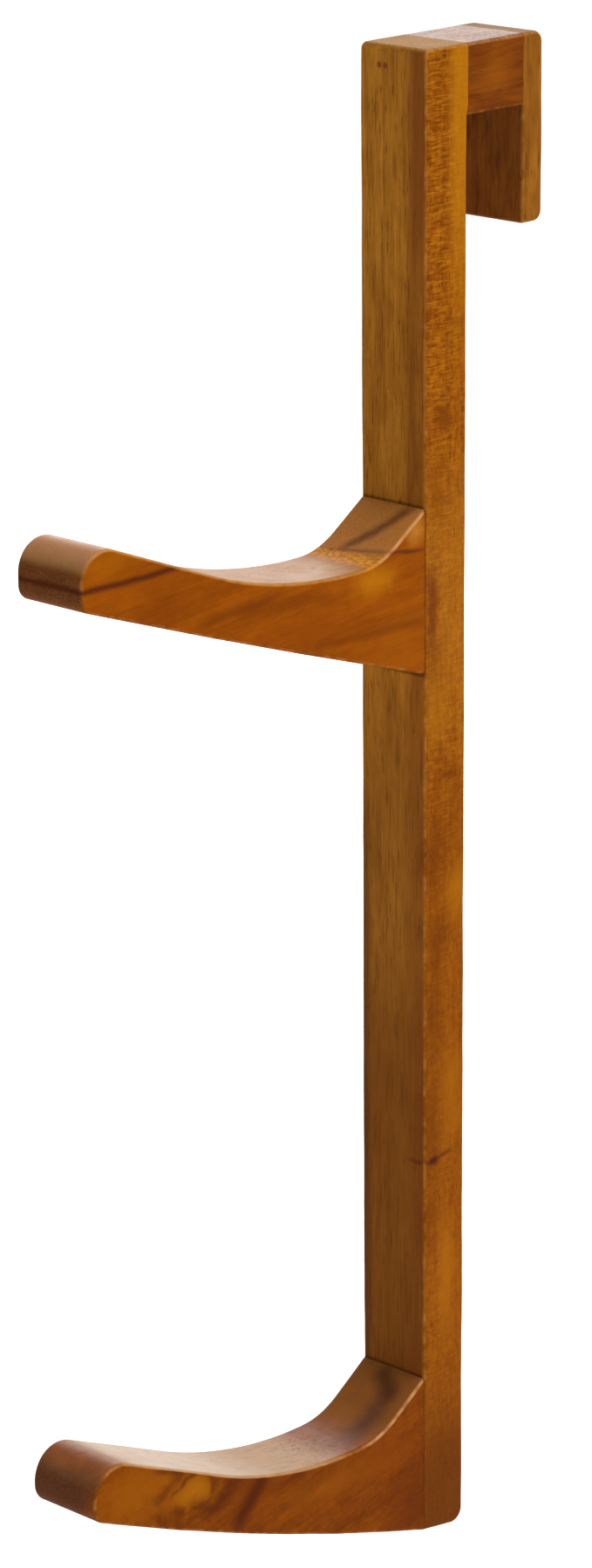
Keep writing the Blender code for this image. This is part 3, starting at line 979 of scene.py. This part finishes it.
def arm(name, shape, seam_z, look, seed):
    """A peg: steep facet, scoop, rounded nose and slightly full underside."""
    low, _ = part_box(name)
    length = FRONT - HAIRLINE - low.y
    chin = Vector((-length, shape["tip"]))
    heel = Vector((0, -shape["heel"]))
    chord = heel - chin
    belly = (chin + heel) / 2 + Vector((chord.y, -chord.x)).normalized() * 2 * shape["belly"]
    belly_radius = chord.length**2 / (10 * shape["belly"])
    crest = (length - RISE_FOOT) * shape["rise"] - shape["dip"]
    scoop_radius = SCOOP_TANGENT / math.tan(math.atan(shape["rise"]) / 2)
    corners = [
        corner(-shape["dip"] / shape["facet"], -shape["dip"], HOLLOW_RADIUS),
        corner(-RISE_FOOT, -shape["dip"], scoop_radius),
        corner(-length, crest, shape["nose"]),
        corner(*chin, shape["chin"]),
        corner(*belly, belly_radius),
        *seam_side(0, -shape["heel"], 0),
    ]
    seam = Vector((0, FRONT - HAIRLINE, seam_z))
    return make_object(name + "_wood", slab(corners, seam, seed), look)


def post(upper_z, lower_z, look):
    upper, lower = upper_z - TOP, lower_z - TOP
    foot = LOWER["heel"] - lower
    thick = BACK - FRONT
    corners = [
        corner(0, 0, before=SEAM_EDGE),
        corner(-thick, 0, POST_TOP_RADIUS),
        *seat(-thick, upper, upper - UPPER["heel"]),
        *seat(-thick, lower, -foot)[:3],
        corner(-thick, -foot, before=SEAM_EDGE),
        corner(0, -foot - FOOT_SLOPE, FOOT_RADIUS),
        *seat(0, -TOP, 0)[:3],
    ]
    return make_object("post_wood", slab(corners, Vector((0, BACK, TOP)), 3), look)


def bridge(look):
    front, back = BACK + HAIRLINE, LIP_LOW.y - HAIRLINE
    corners = seam_side(back, 0, TOP) + seam_side(front, TOP, 0)
    return make_object("bridge_wood", slab(corners, Vector((0, 0, 0)), 11), look)


def lip(look):
    thick, length = LIP_HIGH.y - LIP_LOW.y, LIP_HIGH.z - LIP_LOW.z
    corners = [
        corner(0, 0, after=SEAM_EDGE),
        *seat(0, 0, -TOP)[1:],
        corner(0, -length, LIP_INNER_RADIUS),
        corner(thick, -length, LIP_BOTTOM_RADIUS),
        corner(thick, 0, LIP_TOP_RADIUS),
    ]
    return make_object("lip_wood", slab(corners, Vector((0, LIP_LOW.y, TOP)), 17), look)


# Screws and plugs, in a pair for each joint. Bores clear their CAD nodes by BORE_CLEARANCE

PAIRS = {name: (name + "_top", name + "_bottom") for name in ("upper_arm", "lower_arm", "hook")}
BORE_CLEARANCE = 0.0003
PLUG_GAP = 0.00008
BORE_SIDES = 64
BORE_OVERRUN = 0.001
HEAD_SINK = 0.0004
TIP_ROOM = 0.0006
PLUG_CHAMFER = 0.0008
TOP_SCREW_DROP = 0.029


# A screw's proportions, as shares of its radius or length, but for HEAD_RIM in metres

HEAD_RATIO = 1.8
NECK_RATIO = 0.72
HEAD_SLOPE = 1.08
HEAD_RIM = 0.0004
SHANK_SHARE = 0.38
PITCH_RATIO = 1.05
CORE_RATIO = 0.64
THREAD_RATIO = 0.36
THREAD_WIDTH = 0.22
POINT_LENGTH = 2.2
POINT_RATIO = 0.10
LEAST_TAPER = 0.12
SCREW_SIDES = 32
ROWS_PER_TURN = 10
RECESS_BARS = ((0.32, 2.2, 2.1), (2.1, 2.2, 0.32))
RECESS_NARROWING = 0.55


def plug(name, look):
    """A plug with a faintly crowned face, an eased rim and a chamfer at its inner end."""
    low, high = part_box(name + "_plug")
    centre = (low + high) / 2
    radius = (high.x - low.x) / 2 + BORE_CLEARANCE - PLUG_GAP
    depth = high.y - low.y
    start = Vector((centre.x, high.y, centre.z))
    rings = [
        (-0.00004, radius * 0.35),
        (-0.00003, radius * 0.7),
        (0.0, radius - 0.0005),
        (0.0001, radius - 0.0002),
        (0.0004, radius),
        (depth - PLUG_CHAMFER, radius),
        (depth, radius - PLUG_CHAMFER),
    ]
    return make_object(name + "_plug_wood", turned(rings, BORE_SIDES, start), look)


def bore(name):
    """The hole that a screw and its plug sit in, as a cutter."""
    plug_low, plug_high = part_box(name + "_plug")
    low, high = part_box(name + "_screw")
    centre = (low + high) / 2
    wide = (plug_high.x - plug_low.x) / 2 + BORE_CLEARANCE
    head = (high.x - low.x) / 2
    narrow = head / HEAD_RATIO + BORE_CLEARANCE
    start = Vector((centre.x, plug_high.y, centre.z))
    floor = plug_high.y - high.y + HEAD_SINK
    rings = [
        (-BORE_OVERRUN, wide),
        (floor, wide),
        (floor + wide - narrow, narrow),
        (plug_high.y - low.y + TIP_ROOM, narrow),
    ]
    return make_object(name + "_bore", turned(rings, BORE_SIDES, start))


def screw(name, look):
    """A countersunk wood screw with a cross recess, as long and as wide as its CAD node."""
    low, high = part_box(name + "_screw")
    centre = (low + high) / 2
    length = high.y - low.y
    radius = (high.x - low.x) / 2 / HEAD_RATIO
    start_thread = length * SHANK_SHARE
    pitch = radius * PITCH_RATIO
    rows = [
        (0, radius * 1.68),
        (0.00012, radius * 1.78),
        (HEAD_RIM, radius * HEAD_RATIO),
        (HEAD_RIM + HEAD_SLOPE * radius, radius * NECK_RATIO),
        (start_thread, radius * NECK_RATIO),
    ]
    count = int((length - start_thread) / pitch * ROWS_PER_TURN)
    for row in range(1, count):
        depth = start_thread + (length - start_thread) * row / count
        taper = min(1.0, max(LEAST_TAPER, (length - depth) / (POINT_LENGTH * radius)))
        fade = min(1.0, (depth - start_thread) / pitch)
        radii = []
        for side in range(SCREW_SIDES):
            turn = (depth / pitch - side / SCREW_SIDES) % 1
            ridge = max(0.0, 1 - abs(turn - 0.5) / THREAD_WIDTH)
            radii.append((CORE_RATIO + THREAD_RATIO * ridge * fade) * taper * radius)
        rows.append((depth, radii))
    rows.append((length, radius * POINT_RATIO))
    start = Vector((centre.x, high.y, centre.z))
    made = make_object(name + "_steel", turned(rows, SCREW_SIDES, start), look)
    cross = bmesh.new()
    for size in RECESS_BARS:
        bar = bmesh.ops.create_cube(cross, size=radius)["verts"]
        bmesh.ops.scale(cross, vec=size, verts=bar)
        for vertex in bar:
            if vertex.co.y < 0:
                vertex.co.x *= RECESS_NARROWING
                vertex.co.z *= RECESS_NARROWING
    bmesh.ops.translate(cross, vec=start, verts=cross.verts)
    recess = make_object("recess", cross)
    carve(made, [recess], use_self=True)
    bpy.data.objects.remove(recess)
    return made


def seam_height(which):
    """The top of an arm's seam, from the height of its top screw."""
    low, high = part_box(which + "_arm_top_screw")
    return (low.z + high.z) / 2 + TOP_SCREW_DROP


def build():
    """Every piece, bored for its screws and plugs, in its CAD node's place."""
    upper_z, lower_z = seam_height("upper"), seam_height("lower")
    upright = post(upper_z, lower_z, post_wood())
    upper = arm("upper_arm", UPPER, upper_z, upper_arm_wood(), 23)
    lower = arm("lower_arm", LOWER, lower_z, lower_arm_wood(), 29)
    block = bridge(bridge_wood())
    back_lip = lip(lip_wood())
    steel, cap = zinc_steel(), plug_wood()
    bores = {}
    for name in (name for pair in PAIRS.values() for name in pair):
        bores[name] = bore(name)
        settle(plug(name, cap), name + "_plug")
        settle(screw(name, steel), name + "_screw")
    upper_pair, lower_pair, hook_pair = ([bores[name] for name in pair] for pair in PAIRS.values())
    settle(carve(upright, list(bores.values())), "post")
    settle(carve(upper, upper_pair), "upper_arm")
    settle(carve(lower, lower_pair), "lower_arm")
    settle(carve(block, hook_pair), "bridge_block")
    settle(carve(back_lip, hook_pair), "rear_lip")
    for cutter in bores.values():
        bpy.data.objects.remove(cutter)


# Studio

MIDDLE = Vector((0, -0.1, -0.3))
SKY = 0.3
PAPER = (0.94, 0.94, 0.94, 1)
FLOOR_HALF_WIDTH = 14
FLOOR_DROP = 0.22
LENS = 112.5
AZIMUTH, ELEVATION, ROLL = 43.13, 17.34, -0.39
STAND = (1.38187, -1.58285, 0.3503)


def light(name, kind, source, energy):
    """A lamp at source that points at the middle of the part."""
    data = bpy.data.lights.new(name, kind)
    data.energy = energy
    made = bpy.data.objects.new(name, data)
    made.location = source
    made.rotation_euler = (MIDDLE - Vector(source)).to_track_quat("-Z", "Y").to_euler()
    bpy.context.scene.collection.objects.link(made)
    return data


def studio():
    """White paper floor, even sky, two broad suns, and a low panel behind for sheen."""
    scene = bpy.context.scene
    scene.view_settings.view_transform = "Standard"
    world = bpy.data.worlds.new("studio")
    scene.world = world
    world.use_nodes = True
    background = world.node_tree.nodes["Background"]
    background.inputs["Color"].default_value = (1, 1, 1, 1)
    background.inputs["Strength"].default_value = SKY
    light("key", "SUN", (2.0, 0.6, 1.4), 1.9).angle = math.radians(50)
    light("overhead", "SUN", (0.0, 0.5, 2.4), 1.45).angle = math.radians(60)
    panel = light("sheen_panel", "AREA", (-2.1, 2.1, 0.65), 56)
    panel.shape = "RECTANGLE"
    panel.size, panel.size_y = 3.0, 1.5
    shape = bmesh.new()
    bmesh.ops.create_grid(shape, x_segments=1, y_segments=1, size=FLOOR_HALF_WIDTH)
    floor = make_object("floor", shape)
    floor.location.z = cad_box[0].z - FLOOR_DROP
    tree = Tree("floor_paper")
    tree.shader.inputs["Base Color"].default_value = PAPER
    tree.shader.inputs["Roughness"].default_value = 1.0
    tree.shader.inputs["Specular IOR Level"].default_value = 0.0
    floor.data.materials.append(tree.material)


def photo_camera():
    """The photograph's viewpoint: AZIMUTH, ELEVATION and ROLL in degrees, LENS, and STAND."""
    azimuth, elevation, roll = (math.radians(angle) for angle in (AZIMUTH, ELEVATION, ROLL))
    back = Vector(
        (
            math.sin(azimuth) * math.cos(elevation),
            -math.cos(azimuth) * math.cos(elevation),
            math.sin(elevation),
        )
    )
    level = Vector((math.cos(azimuth), math.sin(azimuth), 0))
    rise = back.cross(level)
    right = level * math.cos(roll) + rise * math.sin(roll)
    up = rise * math.cos(roll) - level * math.sin(roll)
    turn = Matrix((right, up, back)).transposed().to_4x4()
    data = bpy.data.cameras.new("camera")
    data.lens = LENS
    camera = bpy.data.objects.new("camera", data)
    camera.matrix_world = Matrix.Translation(STAND) @ turn
    bpy.context.scene.collection.objects.link(camera)
    bpy.context.scene.camera = camera


build()
studio()
photo_camera()
